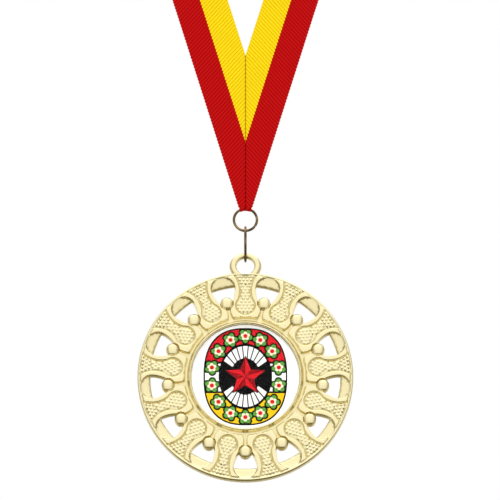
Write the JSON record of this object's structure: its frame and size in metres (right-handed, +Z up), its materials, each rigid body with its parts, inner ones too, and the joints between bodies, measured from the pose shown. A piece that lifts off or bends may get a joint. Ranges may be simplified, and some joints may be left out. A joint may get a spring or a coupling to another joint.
{
  "type": "award medal",
  "caption": "Round openwork gilt medal with a domed centre insert, hung by two jump rings from a two-colour neck ribbon sewn to a point.",
  "frame": {"origin": "the hang point: the inside of the ribbon's loop at its top, in the middle of the ribbon's width", "axes": "+Z up along the hanging ribbon, -Y the way the medal's face looks, +X to the right of a viewer who faces it"},
  "size_m": [0.05, 0.012, 0.1574],
  "materials": {
    "gilt_casting": "pale gilt plating, satin sheen, lightly polished high points",
    "adhesive_pad": "double-sided foam pad",
    "printed_insert": "white, printed",
    "clear_dome": "clear gloss resin",
    "ring_wire": "antique bronze plating",
    "ribbon_red": "woven polyester, diagonal rib",
    "ribbon_yellow": "woven polyester, diagonal rib",
    "thread": "polyester sewing thread"
  },
  "bodies": {
    "ribbon": {"ribbon_red_half": "ribbon_red", "ribbon_yellow_half": "ribbon_yellow", "ribbon_seam_allowance": "ribbon_red", "ribbon_tip_fold": "ribbon_red", "seam_thread": "thread"},
    "upper_ring": {"ribbon_ring": "ring_wire"},
    "lower_ring": {"link_ring": "ring_wire"},
    "medal": {"medal_casting": "gilt_casting", "insert_adhesive": "adhesive_pad", "insert_disc": "printed_insert", "insert_dome": "clear_dome"}
  },
  "joints": [
    {"name": "upper_ring_swing", "type": "hinge", "parent": "ribbon", "child": "upper_ring", "pos_m": [0, 0.00068, -0.09105], "axis": [1, 0, 0], "range_deg": [-60, 60]},
    {"name": "lower_ring_swing", "type": "hinge", "parent": "upper_ring", "child": "lower_ring", "pos_m": [0, 0.00068, -0.09645], "axis": [1, 0, 0], "range_deg": [-60, 60]},
    {"name": "medal_sway", "type": "hinge", "parent": "lower_ring", "child": "medal", "pos_m": [0, 0.00068, -0.10377], "axis": [0, 1, 0], "range_deg": [-55, 55]}
  ]
}
